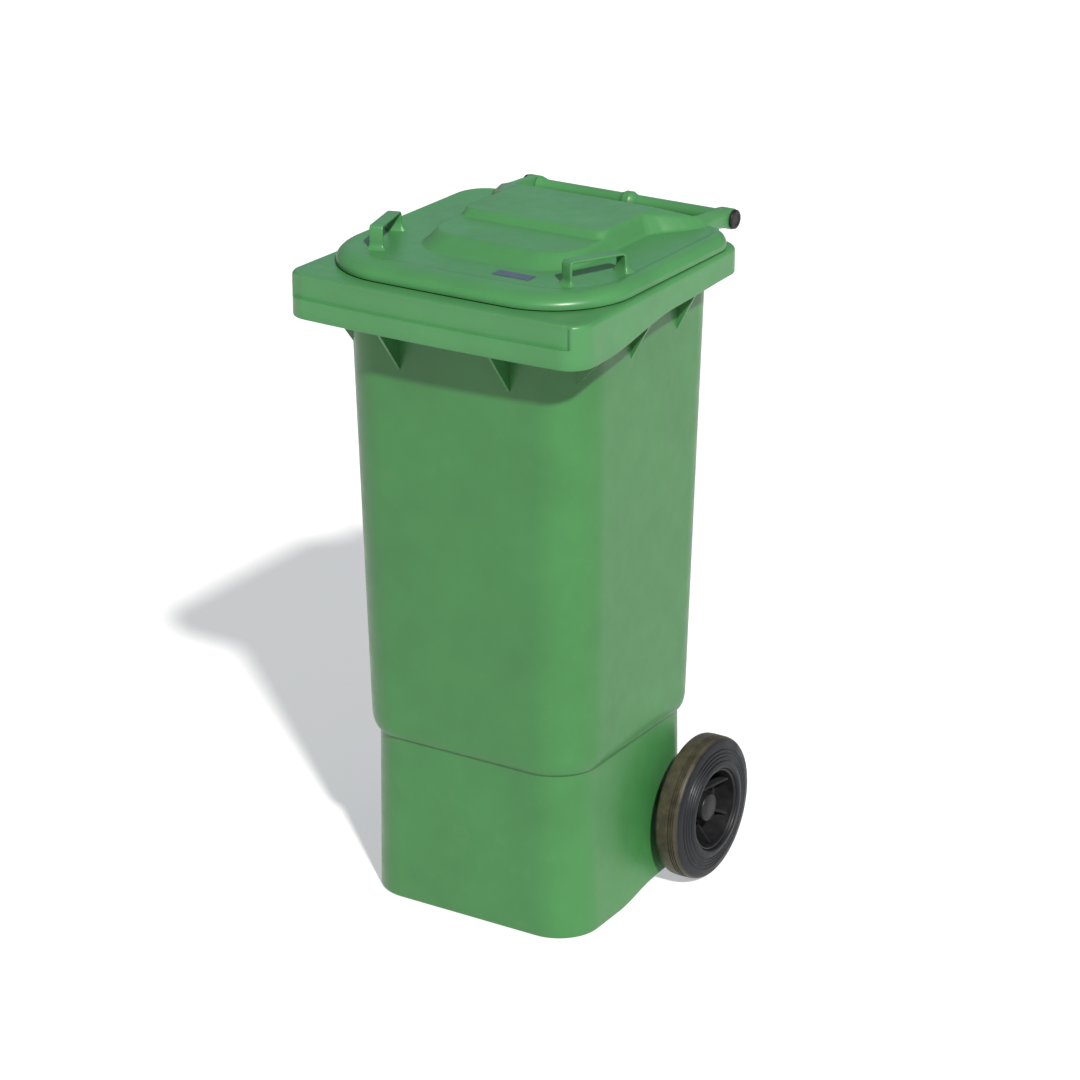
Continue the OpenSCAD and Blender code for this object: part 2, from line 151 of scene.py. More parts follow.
# half width, front, rear, front corner radius and rear corner radius of each raised area
LOW_FOOT, LOW_TOP = (119, 121, 391, 60, 14), (109, 155, 379, 50, 10)
HIGH_FOOT, HIGH_TOP = (111, 233, 389, 15, 12), (107, 244, 376, 14, 10)
GRIP_Z = lid_high.z / MM
GRIP_FALL = 5
GRIP_W = 18
GRIP_HALF_T = 1.9
GRIP_FRONT, GRIP_REAR = (143, 96), (172, 182)
BUFFERS = ((110, 46), (190, 300))
BUFFER_TOP_Z = 899.5
BUFFER_SEAT_R = 7
# depth, then how far out the wing's foot lies there
WING_FOOT = ((300, 106), (320, 113), (340, 121.5), (355, 131), (370, 143), (383, 153),
             (396, 160.5), (408, 164.5), (420, 166))

GREEN = (0.036, 0.160, 0.043)
# A lighter green as painted light: the rim and lid are painted lighter than the tub, blending in
# between the two heights below, in metres.
PAINTED_LIGHT_GREEN = (0.054, 0.205, 0.068)
DUST = (0.16, 0.24, 0.14)
PAINTED_LIGHT_FROM_M, PAINTED_LIGHT_TO_M = 0.80, 0.845


def lerp(a, b, t):
    return a + (b - a) * t


def smooth(low, high, x):
    t = min(1.0, max(0.0, (x - low) / (high - low)))
    return t * t * (3 - 2 * t)


def place(x, depth, z):
    """A point given in millimetres from the rim, as metres in the frame."""
    return Vector((x * MM, FRONT + depth * MM, z * MM))


# ---------- mesh helpers ----------

FRONT_STEPS, CORNER_STEPS, SIDE_STEPS, REAR_STEPS = 100, 20, 44, 44


def outline(front_w, rear_w, front, rear, front_r, rear_r, bow=0.0, rear_depth_r=None):
    """A rounded plan outline, always with the same number of points in the same order."""
    points = []
    rear_ry = rear_r if rear_depth_r is None else rear_depth_r
    half_front, half_rear = front_w / 2 - front_r, rear_w / 2 - rear_r
    corners = [
        (half_front, front + front_r, front_r, front_r, -90),
        (half_rear, rear - rear_ry, rear_r, rear_ry, 0),
        (-half_rear, rear - rear_ry, rear_r, rear_ry, 90),
        (-half_front, front + front_r, front_r, front_r, 180),
    ]
    straights = [SIDE_STEPS, REAR_STEPS, SIDE_STEPS, FRONT_STEPS]
    arcs = []
    for cx, cy, rx, ry, start in corners:
        angles = [math.radians(start + 90 * i / CORNER_STEPS) for i in range(CORNER_STEPS + 1)]
        arcs.append([(cx + rx * math.cos(a), cy + ry * math.sin(a)) for a in angles])
    for k, steps in enumerate(straights):
        begin, end = arcs[k][-1], arcs[(k + 1) % 4][0]
        points += arcs[k][:-1]
        for i in range(steps):
            points.append((lerp(begin[0], end[0], i / steps), lerp(begin[1], end[1], i / steps)))
    middle = (front + rear) / 2
    return [
        (x, y - bow * (1 - (2 * x / front_w) ** 2) if y < middle else y) for x, y in points
    ]


def new_object(name, verts, faces):
    mesh = bpy.data.meshes.new(name)
    mesh.from_pydata([tuple(v) for v in verts], [], faces)
    mesh.update()
    obj = bpy.data.objects.new(name, mesh)
    bpy.context.scene.collection.objects.link(obj)
    return obj


def loft(name, rings, first=None, last=None):
    """A closed skin through rings of equal length, with a cap or a sheet at each end."""
    n = len(rings[0])
    verts = [p for ring in rings for p in ring]
    faces = []
    for k in range(len(rings) - 1):
        for i in range(n):
            j = (i + 1) % n
            faces.append((k * n + i, k * n + j, (k + 1) * n + j, (k + 1) * n + i))
    for sheet, base in ((first, 0), (last, (len(rings) - 1) * n)):
        if sheet is None:
            faces.append(tuple(range(base, base + n)))
            continue
        inner, triangles = sheet
        shift = len(verts) - n
        verts += inner
        faces += [tuple(base + i if i < n else shift + i for i in t) for t in triangles]
    obj = new_object(name, verts, faces)
    outward(obj)
    return obj


def grid_sheet(border, spacing, margin, height):
    """Triangles that fill a border, with inner points on a grid, at heights from a function."""
    reach_x = max(x for x, y in border)
    y0, y1 = min(y for x, y in border), max(y for x, y in border)
    inner = []
    for j in range(int((y1 - y0) / spacing) + 1):
        for i in range(-int(reach_x / spacing), int(reach_x / spacing) + 1):
            x, y = i * spacing, y0 + j * spacing
            if margin(x, y) > spacing * 0.7:
                inner.append((x, y))
    points = [Vector(p) for p in list(border) + inner]
    n = len(border)
    edges = [(i, (i + 1) % n) for i in range(n)]
    _, _, faces, source, _, _ = delaunay_2d_cdt(points, edges, [], 1, 1e-5)
    triangles = [tuple(source[i][0] for i in face) for face in faces]
    return [place(x, y, height(x, y)) for x, y in inner], triangles


def outward(obj):
    bm = bmesh.new()
    bm.from_mesh(obj.data)
    bmesh.ops.recalc_face_normals(bm, faces=bm.faces)
    bm.to_mesh(obj.data)
    bm.free()


def bake(obj):
    """Applies an object's modifiers to its mesh."""
    bpy.context.view_layer.update()
    shape = obj.evaluated_get(bpy.context.evaluated_depsgraph_get())
    mesh = bpy.data.meshes.new_from_object(shape)
    obj.modifiers.clear()
    obj.data = mesh
    return obj


def combine(obj, tool, operation):
    """Joins the tool to the object, or cuts it away, and deletes the tool."""
    step = obj.modifiers.new("combine", "BOOLEAN")
    step.operation = operation
    step.solver = "EXACT"
    step.object = tool
    bake(obj)
    bpy.data.objects.remove(tool)
    return obj


def rounded(obj, width, segments=3, angle=30):
    """Rounds an object's edges by a width in millimetres."""
    step = obj.modifiers.new("round", "BEVEL")
    step.width = width * MM
    step.segments = segments
    step.limit_method = "ANGLE"
    step.angle_limit = math.radians(angle)
    step.use_clamp_overlap = True
    return bake(obj)


def prism(name, points, low, high, to_place):
    """A plate: an outline of (u, v) points pushed from low to high along the third axis."""
    n = len(points)
    verts = [to_place(w, u, v) for w in (low, high) for u, v in points]
    faces = [tuple(range(n)), tuple(range(2 * n - 1, n - 1, -1))]
    faces += [(i, n + i, n + (i + 1) % n, (i + 1) % n) for i in range(n)]
    obj = new_object(name, verts, faces)
    outward(obj)
    return obj


def side_plate(name, x0, x1, points):
    return prism(name, points, x0, x1, place)


def cross_plate(name, depth, thick, points):
    low, high = depth - thick / 2, depth + thick / 2
    return prism(name, points, low, high, lambda w, u, v: place(u, w, v))


def block(name, low, high):
    (x0, y0, z0), (x1, y1, z1) = low, high
    return side_plate(name, x0, x1, [(y0, z0), (y1, z0), (y1, z1), (y0, z1)])


def lathe(name, profile, centre, segments=96):
    """A solid of revolution about X, from a closed profile of (radius, x) points."""
    n = len(profile)
    cx, cy, cz = centre
    on_axis = [profile[i][0] == 0 and profile[(i + 1) % n][0] == 0 for i in range(n)]
    verts = []
    for s in range(segments):
        a = 2 * math.pi * s / segments
        verts += [place(cx + x, cy + r * math.cos(a), cz + r * math.sin(a)) for r, x in profile]
    faces = []
    for s in range(segments):
        t = (s + 1) % segments
        faces += [(s * n + i, s * n + (i + 1) % n, t * n + (i + 1) % n, t * n + i)
                  for i in range(n) if not on_axis[i]]
    obj = new_object(name, verts, faces)
    tidy(obj)
    return obj


def tidy(obj, merge=0.02):
    """Merges points that coincide, drops collapsed faces and points the normals outward."""
    bm = bmesh.new()
    bm.from_mesh(obj.data)
    bmesh.ops.remove_doubles(bm, verts=bm.verts, dist=merge * MM)
    bmesh.ops.dissolve_degenerate(bm, edges=bm.edges, dist=0.001 * MM)
    bmesh.ops.recalc_face_normals(bm, faces=bm.faces)
    bm.to_mesh(obj.data)
    bm.free()


def finish_piece(obj, body, node, material, sharp=32):
    """Shades a piece, gives it its material, hangs it on what it rides on and hides the CAD part it
    stands for.
    """
    for face in obj.data.polygons:
        face.use_smooth = True
    obj.data.set_sharp_from_angle(angle=math.radians(sharp))
    obj.data.materials.clear()
    obj.data.materials.append(material)
    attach(obj, body)
    if node:
        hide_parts(node)
    return obj


def mirrored(obj, name):
    """A copy of an object on the other side of the bin."""
    copy = obj.copy()
    copy.data = obj.data.copy()
    copy.name = name
    copy.data.name = name
    copy.data.transform(Matrix.Scale(-1, 4, (1, 0, 0)))
    copy.data.flip_normals()
    bpy.context.scene.collection.objects.link(copy)
    return copy


# ---------- materials ----------


def material(name):
    mat = bpy.data.materials.new(name)
    mat.use_nodes = True
    return mat, mat.node_tree.nodes, mat.node_tree.links, mat.node_tree.nodes["Principled BSDF"]


def noise(nodes, links, scale, detail=4.0, rough=0.5):
    """A noise of the object's own coordinates, as a value from 0 to 1."""
    coords = nodes.new("ShaderNodeTexCoord")
    tex = nodes.new("ShaderNodeTexNoise")
    tex.inputs["Scale"].default_value = scale
    tex.inputs["Detail"].default_value = detail
    tex.inputs["Roughness"].default_value = rough
    links.new(coords.outputs["Object"], tex.inputs["Vector"])
    return tex.outputs["Fac"]


def ramp(nodes, links, source, stops):
    """A colour ramp; each stop is a position with a grey level or a colour."""
    node = nodes.new("ShaderNodeValToRGB")
    elements = node.color_ramp.elements
    while len(elements) < len(stops):
        elements.new(0.5)
    for element, (position, value) in zip(elements, stops):
        element.position = position
        element.color = (*value, 1) if isinstance(value, tuple) else (value, value, value, 1)
    links.new(source, node.inputs["Fac"])
    return node.outputs["Color"]


def mix(nodes, links, amount, first, second):
    """Blends two colours; each may be a value, a colour or a socket."""
    node = nodes.new("ShaderNodeMix")
    node.data_type = "RGBA"
    sockets = [s for s in node.inputs if s.enabled]
    factor, a, b = sockets[0], sockets[1], sockets[2]
    for socket, value in ((factor, amount), (a, first), (b, second)):
        if isinstance(value, (float, int)):
            socket.default_value = value
        elif isinstance(value, tuple):
            socket.default_value = (*value, 1)
        else:
            links.new(value, socket)
    return [s for s in node.outputs if s.enabled][0]


def bump(nodes, links, height, strength, distance, normal=None):
    """A bump of a height in metres, laid over an earlier normal where one is given."""
    node = nodes.new("ShaderNodeBump")
    node.inputs["Strength"].default_value = strength
    node.inputs["Distance"].default_value = distance
    links.new(height, node.inputs["Height"])
    if normal is not None:
        links.new(normal, node.inputs["Normal"])
    return node.outputs["Normal"]


def moulded_green():
    """Satin polyethylene with mottling, dust and a fine grain, and painted light that makes it
    lighter near the top.
    """
    mat, nodes, links, shader = material("moulded_green")
    mottle = noise(nodes, links, 9, 5, 0.6)
    base = ramp(nodes, links, mottle, [
        (0.3, tuple(c * 0.90 for c in GREEN)), (0.7, tuple(c * 1.08 for c in GREEN))])
    dust = noise(nodes, links, 38, 8, 0.65)
    dusty = ramp(nodes, links, dust, [(0.56, 0.0), (0.85, 0.12)])
    coords = nodes.new("ShaderNodeTexCoord")
    split = nodes.new("ShaderNodeSeparateXYZ")
    links.new(coords.outputs["Object"], split.inputs[0])
    # painted light: the colour turns lighter over the rim and lid, from the first height to the
    # second
    height = ramp(nodes, links, split.outputs["Z"], [(PAINTED_LIGHT_FROM_M, 0.0), (PAINTED_LIGHT_TO_M, 1.0)])
    painted_light_colour = ramp(nodes, links, mottle, [
        (0.3, tuple(c * 0.92 for c in PAINTED_LIGHT_GREEN)), (0.7, tuple(c * 1.06 for c in PAINTED_LIGHT_GREEN))])
    colour = mix(nodes, links, height, base, painted_light_colour)
    colour = mix(nodes, links, dusty, colour, DUST)
    links.new(colour, shader.inputs["Base Color"])
    gloss = ramp(nodes, links, dust, [(0.3, 0.30), (0.75, 0.46)])
    links.new(gloss, shader.inputs["Roughness"])
    grain = noise(nodes, links, 900, 2, 0.5)
    wave = noise(nodes, links, 14, 2, 0.5)
    normal = bump(nodes, links, wave, 0.12, 0.004)
    normal = bump(nodes, links, grain, 0.08, 0.0003, normal)
    links.new(normal, shader.inputs["Normal"])
    shader.inputs["Specular IOR Level"].default_value = 0.4
    return mat


def black_plastic(name, level, rough):
    """Black moulded plastic with light scuffs."""
    mat, nodes, links, shader = material(name)
    scuff = noise(nodes, links, 60, 6, 0.6)
    colour = ramp(nodes, links, scuff, [
        (0.4, (level, level, level * 1.15)), (0.8, (level * 2.0, level * 2.0, level * 2.1))])
    links.new(colour, shader.inputs["Base Color"])
    gloss = ramp(nodes, links, scuff, [(0.3, rough - 0.08), (0.8, rough + 0.14)])
    links.new(gloss, shader.inputs["Roughness"])
    grain = noise(nodes, links, 1100, 2)
    links.new(bump(nodes, links, grain, 0.1, 0.0003), shader.inputs["Normal"])
    shader.inputs["Specular IOR Level"].default_value = 0.25
    return mat


def tyre_rubber():
    """Black rubber, dusted olive-brown on the tread."""
    mat, nodes, links, shader = material("tyre_rubber")
    coords = nodes.new("ShaderNodeTexCoord")
    centre = nodes.new("ShaderNodeVectorMath")
    centre.operation = "SUBTRACT"
    centre.inputs[1].default_value = (0.0, FRONT + AXLE_Y * MM, AXLE_Z * MM)
    links.new(coords.outputs["Object"], centre.inputs[0])
    flat = nodes.new("ShaderNodeVectorMath")
    flat.operation = "MULTIPLY"
    flat.inputs[1].default_value = (0.0, 1.0, 1.0)
    links.new(centre.outputs["Vector"], flat.inputs[0])
    radius = nodes.new("ShaderNodeVectorMath")
    radius.operation = "LENGTH"
    links.new(flat.outputs["Vector"], radius.inputs[0])
    spread = nodes.new("ShaderNodeMapRange")
    spread.inputs["From Min"].default_value = DUST_FROM_R * MM
    spread.inputs["From Max"].default_value = DUST_TO_R * MM
    links.new(radius.outputs["Value"], spread.inputs["Value"])
    scuff = noise(nodes, links, 55, 7, 0.65)
    side = ramp(nodes, links, scuff, [
        (0.35, (0.0042, 0.0048, 0.0070)), (0.8, (0.011, 0.012, 0.016))])
    tread = ramp(nodes, links, scuff, [
        (0.3, (0.027, 0.024, 0.015)), (0.75, (0.070, 0.064, 0.041))])
    colour = mix(nodes, links, spread.outputs["Result"], side, tread)
    links.new(colour, shader.inputs["Base Color"])
    gloss = ramp(nodes, links, scuff, [(0.3, 0.34), (0.8, 0.6)])
    links.new(gloss, shader.inputs["Roughness"])
    grain = noise(nodes, links, 700, 3)
    links.new(bump(nodes, links, grain, 0.25, 0.0005), shader.inputs["Normal"])
    shader.inputs["Specular IOR Level"].default_value = 0.22
    return mat


def steel():
    """Zinc-plated steel with a fine grain."""
    mat, nodes, links, shader = material("zinc_steel")
    grain = noise(nodes, links, 220, 4)
    colour = ramp(nodes, links, grain, [
        (0.3, (0.42, 0.43, 0.44)), (0.7, (0.6, 0.6, 0.6))])
    links.new(colour, shader.inputs["Base Color"])
    gloss = ramp(nodes, links, grain, [(0.3, 0.3), (0.7, 0.5)])
    links.new(gloss, shader.inputs["Roughness"])
    shader.inputs["Metallic"].default_value = 1.0
    return mat


def label_face():
    """A blank plate in dark blue-grey, slightly scuffed."""
    mat, nodes, links, shader = material("label_face")
    scuff = noise(nodes, links, 90, 6, 0.6)
    colour = ramp(nodes, links, scuff, [
        (0.35, (0.050, 0.066, 0.110)), (0.8, (0.080, 0.100, 0.150))])
    links.new(colour, shader.inputs["Base Color"])
    gloss = ramp(nodes, links, scuff, [(0.3, 0.35), (0.8, 0.55)])
    links.new(gloss, shader.inputs["Roughness"])
    links.new(bump(nodes, links, scuff, 0.2, 0.0004), shader.inputs["Normal"])
    return mat


# ---------- body ----------


def tub_ring(z, size, inset=0.0, raise_by=None):
    """A ring of the tub at a height, its outline drawn in by an inset."""
    points = outline(
        size["width"] - 2 * inset, size["width"] - REAR_NARROWER - 2 * inset,
        size["front"] + inset, size["rear"] - inset,
        max(4, size["corner"] - inset), max(4, size["corner"] - REAR_SHARPER - inset))
    return [place(x, y, z + (raise_by(x, y) if raise_by else 0)) for x, y in points]


def between(a, b, t):
    """The size of the tub part of the way from one size to another."""
    return {k: lerp(a[k], b[k], t) for k in a}


def underside(x, y):
    """How far the floor rises towards the wheels."""
    return FLOOR_RISE * smooth(200, 300, y) + AXLE_RISE * smooth(300, 420, y)


def near_floor(z):
    """The floor's rise, which fades out with the height of a ring."""
    return lambda x, y: underside(x, y) * max(0.0, 1 - z / FLOOR_BLEND_Z)


def skirt_low(x, y):
    """How far the skirt's lower edge lies below the rim's top."""
    return lerp(SKIRT_H, REAR_SKIRT_H + 3, smooth(60, 245, y)) - 3 * smooth(245, 400, y)


def band_low(x, y):
    """How far the front's recessed band reaches below the rim's top."""
    return skirt_low(x, y) * BAND_H / SKIRT_H


def rim_outline(inset, band=0.0):
    """The rim's plan outline, with the front's band set back by a depth."""
    rear = min(inset, REAR_SKIRT_T) if inset < 12 else inset
    points = outline(RIM_W - 2 * inset, RIM_REAR_W - 2 * inset, inset, RIM_D - rear,
                     RIM_R - inset, RIM_R - inset, RIM_BOW, RIM_R - rear)
    if not band:
        return points
    moved = []
    for x, y in points:
        amount = smooth(BAND_FROM_X, BAND_FROM_X + 12, x)
        amount *= 1 - smooth(BAND_TO_X - 7, BAND_TO_X, x)
        moved.append((x, y + band * amount if y < RIM_R + 4 else y))
    return moved


def rim_ring(drop, inset, band=0.0):
    """A ring of the rim that lies below its top by the distances that drop(x, depth) gives."""
    return [place(x, y, RIM_Z - drop(x, y)) for x, y in rim_outline(inset, band)]


def tub_rings():
    """The outside of the tub, from the middle of its floor up to the rim."""
    rings = [tub_ring(0, BASE, inset, underside) for inset in (150, 120, 80, 45, 22)]
    for k in range(7):
        a = math.radians(15 * k)
        rings.append(tub_ring(EDGE_R * (1 - math.cos(a)), BASE,
                              EDGE_R * (1 - math.sin(a)) + 1e-3, near_floor(0)))
    for k in range(1, 13):
        z = lerp(EDGE_R, STEP_Z - 2, k / 12)
        rings.append(tub_ring(z, between(BASE, FOOT, k / 12), 0, near_floor(z)))
    rings.append(tub_ring(STEP_Z + 1.5, FOOT, 0))
    rings.append(tub_ring(STEP_Z + 0.5, FOOT, -LIP_OVERHANG * 0.6))
    for k in range(9):
        a = math.radians(90 * k / 8)
        rings.append(tub_ring(STEP_Z + LIP_H * (1 - math.cos(a)), between(FOOT, STEP, math.sin(a)),
                              -LIP_OVERHANG * (1 - math.sin(a))))
    for k in range(1, 19):
        t = k / 18
        rings.append(tub_ring(lerp(STEP_Z + LIP_H, RIM_Z - RIM_T - 4, t), between(STEP, TOP, t)))
    return rings


def skirt_rings():
    """The underside of the rim, the skirt's inner face, its edge and its outer face."""
    inner = RIM_T + BAND_DEPTH * 0.5
    rings = [tub_ring(RIM_Z - RIM_T - 1, TOP, -1.2), tub_ring(RIM_Z - RIM_T, TOP, -3.5)]
    for drop, inset in ((0, inner + 3), (1, inner + 0.8), (4, inner)):
        rings.append(rim_ring(lambda x, y: RIM_T + drop, inset))
    for t in (0.3, 0.6, 0.9):
        rings.append(rim_ring(lambda x, y: lerp(RIM_T, skirt_low(x, y), t), lerp(inner, 3.6, t)))
    for lift, inset in ((0.6, 3.2), (0, 2.4), (0, 1.6), (0.7, 0.4), (2, 0)):
        rings.append(rim_ring(lambda x, y: skirt_low(x, y) - lift, inset))
    for t in (0.25, 0.5, 0.75):
        rings.append(rim_ring(lambda x, y: lerp(skirt_low(x, y) - 2, band_low(x, y) + 2, t), 0))
    return rings


def band_rings():
    """The step into the front's band, the band itself, and the rim's top face."""
    rings = []
    for drop, band in ((1.4, 0), (0.5, 0.8), (0, BAND_DEPTH - 0.6), (-1, BAND_DEPTH)):
        rings.append(rim_ring(lambda x, y: band_low(x, y) + drop, 0, band))
    for t in (0.25, 0.5, 0.75, 1):
        rings.append(rim_ring(lambda x, y: lerp(band_low(x, y) - 1, 6, t), 0, BAND_DEPTH))
    for k in range(1, 6):
        a = math.radians(18 * k)
        rings.append(rim_ring(lambda x, y: RIM_EDGE_R * (1 - math.sin(a)),
                              RIM_EDGE_R * (1 - math.cos(a)), BAND_DEPTH * (1 - k / 6)))
    rings.append(rim_ring(lambda x, y: 0, 14))
    for inset in (30, 70, 120, 170):
        corner = max(8, RIM_R + 30 - inset)
        points = outline(RIM_W - 2 * inset, RIM_REAR_W - 2 * inset, inset, RIM_D - inset,
                         corner, corner)
        rings.append([place(x, y, RIM_Z) for x, y in points])
    return rings


def outer_body():
    return loft("body_shell", tub_rings() + skirt_rings() + band_rings())


def inner_body():
    """The space inside the tub, with a raised step over the axle."""
    base = {**BASE, "width": BASE["width"] - 4, "front": BASE["front"] + 2}
    rings = [tub_ring(FLOOR_T, base, WALL + inset, underside) for inset in (140, 90, 50)]
    for k in range(6):
        a = math.radians(18 * k)
        rings.append(tub_ring(FLOOR_T + 8 * (1 - math.cos(a)), base, WALL + 8 * (1 - math.sin(a)),
                              near_floor(0)))
    for k in range(1, 9):
        z = lerp(FLOOR_T + 9, STEP_Z - 2, k / 8)
        rings.append(tub_ring(z, between(BASE, FOOT, k / 8), WALL, near_floor(z)))
    for k in range(7):
        a = math.radians(15 * k)
        size = between(FOOT, STEP, math.sin(a))
        rings.append(tub_ring(STEP_Z + 2 + LIP_H * (1 - math.cos(a)), size, WALL))
    for k in range(1, 13):
        t = k / 12
        rings.append(tub_ring(lerp(STEP_Z + LIP_H + 2, RIM_Z - 6, t), between(STEP, TOP, t), WALL))
    for k in range(1, 6):
        a = math.radians(18 * k)
        rings.append(tub_ring(RIM_Z - 6 + 6 * math.sin(a), TOP, WALL - 6 * (1 - math.cos(a))))
    rings.append(tub_ring(RIM_Z + 6, TOP, WALL - 7))
    hollow = loft("hollow", rings)
    step = block("step", (-300, NOTCH_Y - WALL, -20), (300, 460, NOTCH_Z + WALL))
    rounded(step, 8, 4)
    return combine(hollow, step, "DIFFERENCE")


def rib_plates():
    """The ribs between the skirt and the tub: two at the front and three on each side."""
    plates = []
    for side in (-1, 1):
        x = RIB_X * side
        plates.append(side_plate("rib", x - RIB_T / 2, x + RIB_T / 2, [
            (3, RIM_Z - 2), (3, RIM_Z - SKIRT_H + 5), (TOP["front"] + 5, 764),
            (TOP["front"] + 8, RIM_Z - 2)]))
        for depth, low, inner, tip in SIDE_RIBS:
            half = RIM_W / 2 - SIDE_TAPER * depth - 2
            plates.append(cross_plate("rib", depth, RIB_T, [
                (side * half, RIM_Z - 2), (side * half, low), (side * inner, tip),
                (side * (inner - 2), RIM_Z - 2)]))
    return plates


def bar():
    """The handle bar, with a collar in the middle and one at each end."""
    half = [(BAR_R, 14), (BAR_R, 60), (BAR_R, 131), (COLLAR_R - 0.6, LUG_IN_X - 4),
            (COLLAR_R, LUG_IN_X - 1), (COLLAR_R - 1, LUG_IN_X)]
    middle = [(BAR_R + 0.4, -11), (COLLAR_R - 1, -6), (COLLAR_R, -4.5), (COLLAR_R, 4.5),
              (COLLAR_R - 1, 6), (BAR_R + 0.4, 11)]
    points = [(r, -x) for r, x in reversed(half)] + middle + half
    return lathe("bar", [(0.0, -LUG_IN_X)] + points + [(0.0, LUG_IN_X)], (0, HINGE_Y, HINGE_Z), 64)


def handle_arms():
    """The arms that carry the handle bar, each with a post beside it."""
    arms = []
    for side in (-1, 1):
        a, b = sorted((side * ARM_IN_X, side * ARM_OUT_X))
        arm = side_plate("arm", a, b, [
            (RIM_D - 8, RIM_Z - 2), (HINGE_Y - 14, RIM_Z - 2), (HINGE_Y, HINGE_Z),
            (HINGE_Y + 3, HINGE_Z - 9), (HINGE_Y - 18, HINGE_Z - 42), (RIM_D - 8, 812)])
        arms.append(rounded(arm, 3, 3))
        a, b = sorted((side * (ARM_OUT_X - 2), side * (LUG_OUT_X - 2)))
        post = side_plate("post", a, b, [
            (RIM_D - 8, RIM_Z - 2), (RIM_D + 26, RIM_Z - 2), (RIM_D + 43, RIM_Z - 6),
            (RIM_D + 41, RIM_Z - 16), (RIM_D + 18, RIM_Z - 44), (RIM_D - 8, RIM_Z - 60)])
        arms.append(rounded(post, 3, 3))
    return arms


def round_post(name, x, depth, r, low, high):
    angles = [math.radians(7.5 * k) for k in range(48)]
    circle = [(x + r * math.cos(a), depth + r * math.sin(a)) for a in angles]
    return prism(name, circle, low, high, lambda w, u, v: place(u, v, w))


def axle_seats():
    """The bosses that hold the axle in its recess, and the webs that carry them."""
    seats = []
    for side in (-1, 1):
        for x0, x1 in ((NOTCH_X - 20, NOTCH_X + 2), (AXLE_RIB_X - 4, AXLE_RIB_X + 4)):
            a, b = sorted((side * x0, side * x1))
            seats.append(lathe("seat", [(0.0, a), (BOSS_R, a), (BOSS_R, b), (0.0, b)],
                               (0, AXLE_Y, AXLE_Z), 48))
        for x0 in (AXLE_RIB_X - 4, NOTCH_X - 12):
            a, b = sorted((side * x0, side * (x0 + 8)))
            seats.append(side_plate("web", a, b, [
                (NOTCH_Y - 2, 42), (NOTCH_Y - 2, NOTCH_Z + 2), (FOOT["rear"] - 6, NOTCH_Z + 2),
                (AXLE_Y + BOSS_R, AXLE_Z), (AXLE_Y + 8, AXLE_Z - 16), (AXLE_Y - 8, AXLE_Z - 16)]))
    return seats


def make_body(green):
    shell = outer_body()
    for plate in rib_plates():
        combine(shell, plate, "UNION")
    combine(shell, inner_body(), "DIFFERENCE")
    notch = block("notch", (-NOTCH_X, NOTCH_Y, -20), (NOTCH_X, 460, NOTCH_Z))
    combine(shell, rounded(notch, 5, 3), "DIFFERENCE")
    nest = round_post("nest", 0, NEST_DEPTH, NEST_R, RIM_Z - 22, RIM_Z - 2)
    for piece in handle_arms() + [bar(), nest] + axle_seats():
        combine(shell, piece, "UNION")
    chip_bore = round_post("chip_bore", 0, NEST_DEPTH, CHIP_R, RIM_Z - 30, RIM_Z - 4.9)
    combine(shell, chip_bore, "DIFFERENCE")
    bore = lathe("bore", [(0.0, -240), (AXLE_BORE_R, -240), (AXLE_BORE_R, 240), (0.0, 240)],
                 (0, AXLE_Y, AXLE_Z), 48)
    combine(shell, bore, "DIFFERENCE")
    tidy(shell, 0.01)
    return finish_piece(shell, "bin", "body", green)


# ---------- lid ----------


def inside(x, y, half, front, rear, front_r, rear_r):
    """How far a point lies inside a rounded rectangle; negative outside it."""
    near_front = y < (front + rear) / 2
    r = front_r if near_front else rear_r
    dx = abs(x) - (half - r)
    dy = (front + r - y) if near_front else (y - rear + r)
    if dx > 0 and dy > 0:
        return r - math.hypot(dx, dy)
    return min(half - abs(x), y - front, rear - y)


def slope(x, y, foot, top):
    """Goes from 0 at the foot outline of a raised area to 1 at its top outline."""
    from_foot = inside(x, y, *foot)
    to_top = -inside(x, y, *top)
    if from_foot <= 0:
        return 0.0
    if to_top <= 0:
        return 1.0
    t = from_foot / (from_foot + to_top)
    return 0.6 * t + 0.4 * t * t * (3 - 2 * t)


def soft_min(a, b, blend):
    """The lower of two heights, rounded where they meet."""
    h = max(0.0, min(1.0, 0.5 + 0.5 * (b - a) / blend))
    return lerp(b, a, h) - blend * h * (1 - h)


def wing_foot(y):
    """How far out a wing's foot lies, at a distance from the front."""
    for (y0, x0), (y1, x1) in zip(WING_FOOT, WING_FOOT[1:]):
        if y <= y1:
            return lerp(x0, x1, (y - y0) / (y1 - y0))
    return WING_FOOT[-1][1]


def wing_top(x, y):
    """The wings beside the upper plateau, which fall outward to the hinge arms."""
    out = abs(x)
    fall = HIGH_Z - 0.25 * max(0.0, out - 100)
    side_face = PANEL_Z + lerp(1.7, 0.95, smooth(318, 404, y)) * (wing_foot(y) - out)
    rear_face = HIGH_Z - 1.7 * max(0.0, y - 377 - 0.4 * max(0.0, out - 98))
    return soft_min(soft_min(fall, side_face, 3), rear_face, 3)


def crest_margin(x, y):
    """How far a point lies inside the crest of the lid's rolled edge."""
    half = lerp(LID["front_w"], LID["rear_w"], y / LID["rear"]) / 2 - ROLL_SIDE
    front = LID["front"] + ROLL_FRONT - LID["bow"] * (1 - (x / half) ** 2)
    corner = LID["front_r"] - (ROLL_SIDE + ROLL_FRONT) / 2
    return inside(x, y, half, front, LID["rear"] - ROLL_REAR, corner,
                  LID["rear_r"] - (ROLL_SIDE + ROLL_REAR) / 2)


